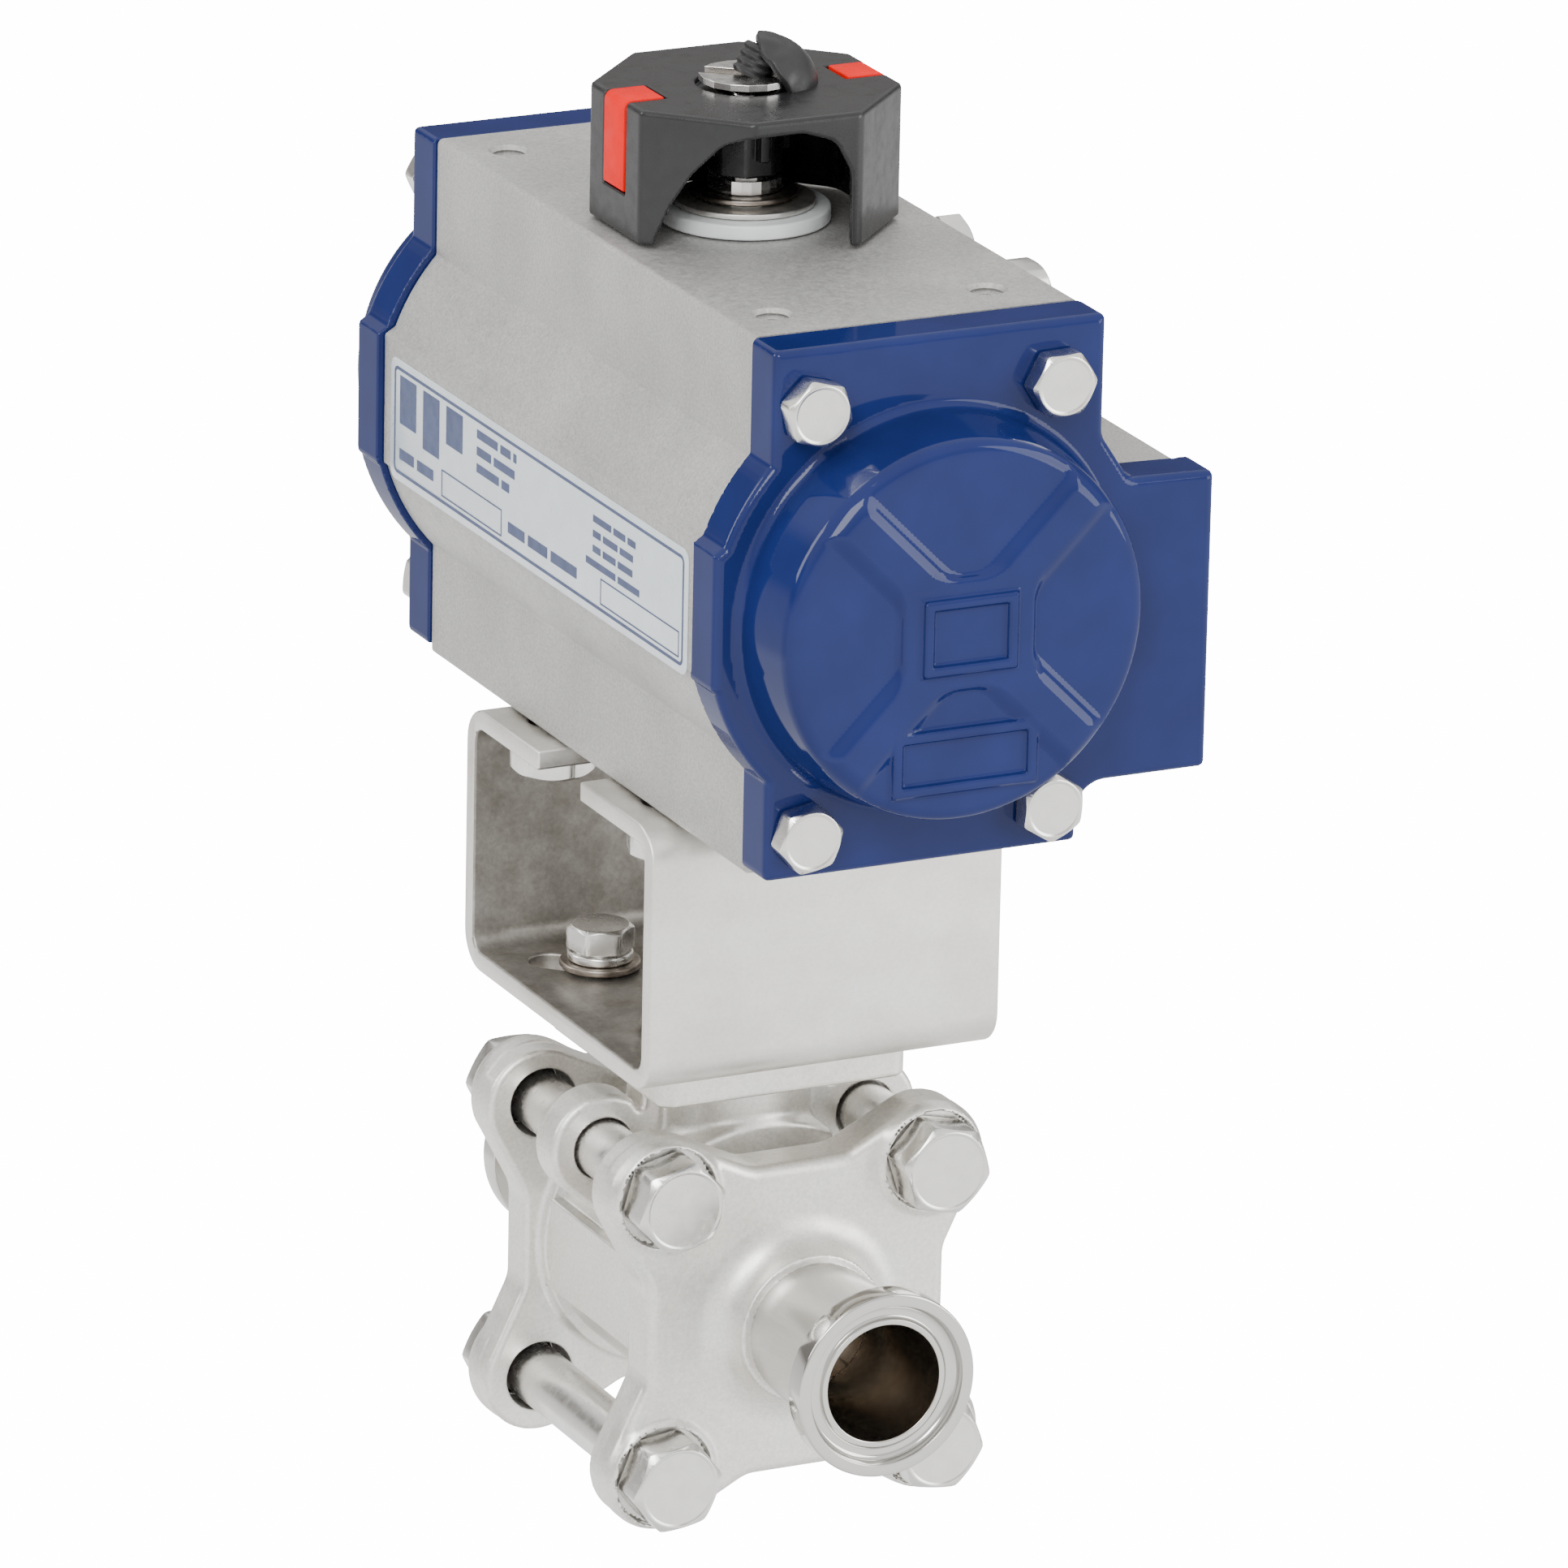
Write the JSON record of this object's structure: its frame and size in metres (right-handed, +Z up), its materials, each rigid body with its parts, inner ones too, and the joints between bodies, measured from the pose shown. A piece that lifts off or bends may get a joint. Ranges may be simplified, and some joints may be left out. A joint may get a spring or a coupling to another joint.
{
  "type": "pneumatic actuated valve",
  "caption": "Spring-return pneumatic rack-and-pinion actuator on a folded bracket, turning a three-piece ball valve with clamp ferrules.",
  "frame": {"origin": "centre of the inlet ferrule's face, on the flow axis", "axes": "+Y along the flow axis from the inlet (front) ferrule to the outlet (rear) ferrule; +Z up along the stem, towards the actuator; +X to the side with the air-port pad"},
  "size_m": [0.0698, 0.1368, 0.197],
  "materials": {
    "anodised": "matte warm grey anodised, fine speckle",
    "bearing_plastic": "natural acetal",
    "black_plastic": "black moulded plastic, fine texture",
    "black_rubber": "black rubber",
    "blue_coat": "dark blue glossy coating with a slight orange peel",
    "bright_steel": "bright stainless steel",
    "cast_steel": "bead-blasted cast stainless steel, soft edges",
    "dark_steel": "dark oiled spring steel",
    "piston_alloy": "die-cast aluminium, machined",
    "red_plastic": "red moulded plastic",
    "sheet_steel": "pickled stainless sheet, faintly mottled, folded",
    "spring_steel": "coated spring wire",
    "white_plastic": "white bearing and sealing polymer"
  },
  "bodies": {
    "valve_frame": {"actuator_body": "anodised", "actuator_mount_bolt_1": "bright_steel", "actuator_mount_bolt_2": "bright_steel", "actuator_mount_bolt_3": "bright_steel", "actuator_mount_bolt_4": "bright_steel", "bracket": "sheet_steel", "front_cap_bolt_1": "bright_steel", "front_cap_bolt_2": "bright_steel", "front_cap_bolt_3": "bright_steel", "front_cap_bolt_4": "bright_steel", "front_end_cap": "blue_coat", "front_end_piece": "cast_steel", "front_seat": "white_plastic", "front_spring": "spring_steel", "gland_nut": "bright_steel", "lower_pinion_bush": "bearing_plastic", "rear_cap_bolt_1": "bright_steel", "rear_cap_bolt_2": "bright_steel", "rear_cap_bolt_3": "bright_steel", "rear_cap_bolt_4": "bright_steel", "rear_end_cap": "blue_coat", "rear_end_piece": "cast_steel", "rear_seat": "white_plastic", "rear_spring": "spring_steel", "stem_packing": "white_plastic", "stop_nut_front": "bright_steel", "stop_nut_rear": "bright_steel", "thrust_ring": "white_plastic", "upper_pinion_bush": "bearing_plastic", "valve_body": "cast_steel", "valve_bolt_1": "bright_steel", "valve_bolt_2": "bright_steel", "valve_bolt_3": "bright_steel", "valve_bolt_4": "bright_steel", "valve_mount_bolt_1": "bright_steel", "valve_mount_bolt_2": "bright_steel", "valve_mount_bolt_3": "bright_steel", "valve_mount_bolt_4": "bright_steel", "valve_nut_1": "bright_steel", "valve_nut_2": "bright_steel", "valve_nut_3": "bright_steel", "valve_nut_4": "bright_steel"},
    "shaft": {"pinion_shaft": "bright_steel", "stop_cam": "bright_steel", "snap_ring": "dark_steel", "thrust_washer": "bright_steel", "indicator_cap": "black_plastic", "indicator_insert_left": "red_plastic", "indicator_insert_right": "red_plastic", "indicator_screw": "bright_steel", "indicator_plug": "black_rubber", "drive_coupling": "bright_steel", "valve_stem": "bright_steel", "ball": "bright_steel"},
    "front_piston": {"front_piston": "piston_alloy", "front_piston_seal": "black_rubber"},
    "rear_piston": {"rear_piston": "piston_alloy", "rear_piston_seal": "black_rubber"},
    "stop_screw_front": {"stop_screw_front": "bright_steel"},
    "stop_screw_rear": {"stop_screw_rear": "bright_steel"}
  },
  "joints": [
    {"name": "shaft_turn", "type": "hinge", "parent": "valve_frame", "child": "shaft", "pos_m": [0, 0.0495, 0], "axis": [0, 0, 1], "range_deg": [0, 90], "stiffness_Nm_per_rad": 0.5, "springref_deg": -17.19},
    {"name": "front_piston_slide", "type": "slide", "parent": "valve_frame", "child": "front_piston", "axis": [0, -1, 0], "range_m": [0, 0.0173], "deforming": ["front_spring"]},
    {"name": "rear_piston_slide", "type": "slide", "parent": "valve_frame", "child": "rear_piston", "axis": [0, 1, 0], "range_m": [0, 0.0173], "deforming": ["rear_spring"]},
    {"name": "stop_screw_front_set", "type": "slide", "parent": "valve_frame", "child": "stop_screw_front", "axis": [1, 0, 0], "range_m": [0, 0.003]},
    {"name": "stop_screw_rear_set", "type": "slide", "parent": "valve_frame", "child": "stop_screw_rear", "axis": [1, 0, 0], "range_m": [0, 0.003]}
  ],
  "couplings": [
    {"joint": "front_piston_slide", "follows": "shaft_turn", "m_per_rad": 0.011},
    {"joint": "rear_piston_slide", "follows": "shaft_turn", "m_per_rad": 0.011}
  ]
}
